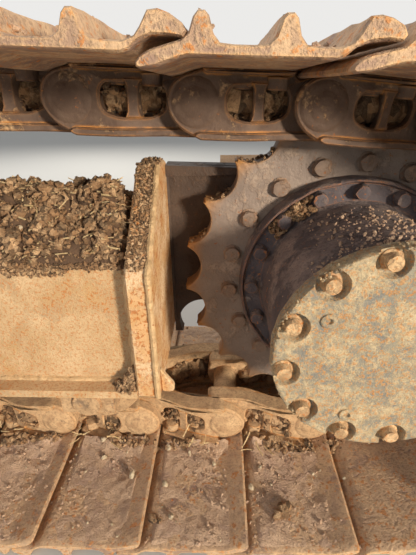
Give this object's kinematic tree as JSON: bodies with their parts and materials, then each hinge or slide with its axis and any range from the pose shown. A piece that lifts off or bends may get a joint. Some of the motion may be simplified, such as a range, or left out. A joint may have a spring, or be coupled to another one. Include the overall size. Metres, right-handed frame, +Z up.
{
  "type": "crawler track unit",
  "caption": "Excavator crawler track unit: steel shoes on a link chain round a box frame, with drive sprocket, final drive, rollers and idler.",
  "frame": {"origin": "on the ground, at the middle of the track's length and width", "axes": "+X along the track towards the drive sprocket, +Z up, -Y outboard"},
  "size_m": [4.065, 0.7, 0.8603],
  "materials": {
    "frame_paint": "yellow paint gone dull under dried tan mud",
    "worn_steel": "steel worn bare on the tooth flanks, mud elsewhere",
    "bolt_steel": "dull steel with dried mud",
    "drive_iron": "rusted casting under dried mud",
    "cover_paint": "tan dust over scuffed paint",
    "motor_paint": "dark paint, oily dust",
    "roller_iron": "rust and mud",
    "link_steel": "rusted forging, rail faces worn",
    "shoe_steel": "rusted plate caked with dry soil",
    "dried_soil": "loose dry soil, crumbly and matt"
  },
  "bodies": {
    "track_unit": {"track_frame": "frame_paint", "drive_end_plate": "frame_paint", "drive_bracket": "frame_paint", "bracket_rim": "frame_paint", "frame_front_plate": "frame_paint", "sprocket": "worn_steel", "sprocket_bolts": "bolt_steel", "hub_flange": "drive_iron", "planetary_case": "drive_iron", "case_bolts": "bolt_steel", "drive_cover": "cover_paint", "cover_bolts": "bolt_steel", "drive_spindle": "drive_iron", "travel_motor": "motor_paint", "motor_valve": "motor_paint", "motor_guard": "frame_paint", "idler_wheel": "roller_iron", "idler_shaft": "bolt_steel", "idler_blocks": "roller_iron", "idler_guides": "frame_paint", "idler_yoke": "frame_paint", "recoil_unit": "motor_paint", "track_roller_1": "roller_iron", "track_roller_2": "roller_iron", "track_roller_3": "roller_iron", "track_roller_4": "roller_iron", "track_roller_5": "roller_iron", "track_roller_6": "roller_iron", "track_roller_7": "roller_iron", "roller_collars": "roller_iron", "carrier_roller_front": "roller_iron", "carrier_roller_rear": "roller_iron", "carrier_shafts": "bolt_steel", "carrier_stands": "frame_paint", "chain_guides": "frame_paint", "outer_links": "link_steel", "inner_links": "link_steel", "bushings": "link_steel", "track_shoes": "shoe_steel", "mount_pad_front": "frame_paint", "mount_pad_rear": "frame_paint", "cover_hinge": "bolt_steel", "soil_heap": "dried_soil"},
    "access_cover": {"access_cover": "frame_paint"}
  },
  "joints": [
    {"name": "access_cover_hinge", "type": "hinge", "parent": "track_unit", "child": "access_cover", "pos_m": [-0.44576, -0.183, 0.4433], "axis": [-1, 0, 0], "range_deg": [0, 110]}
  ]
}
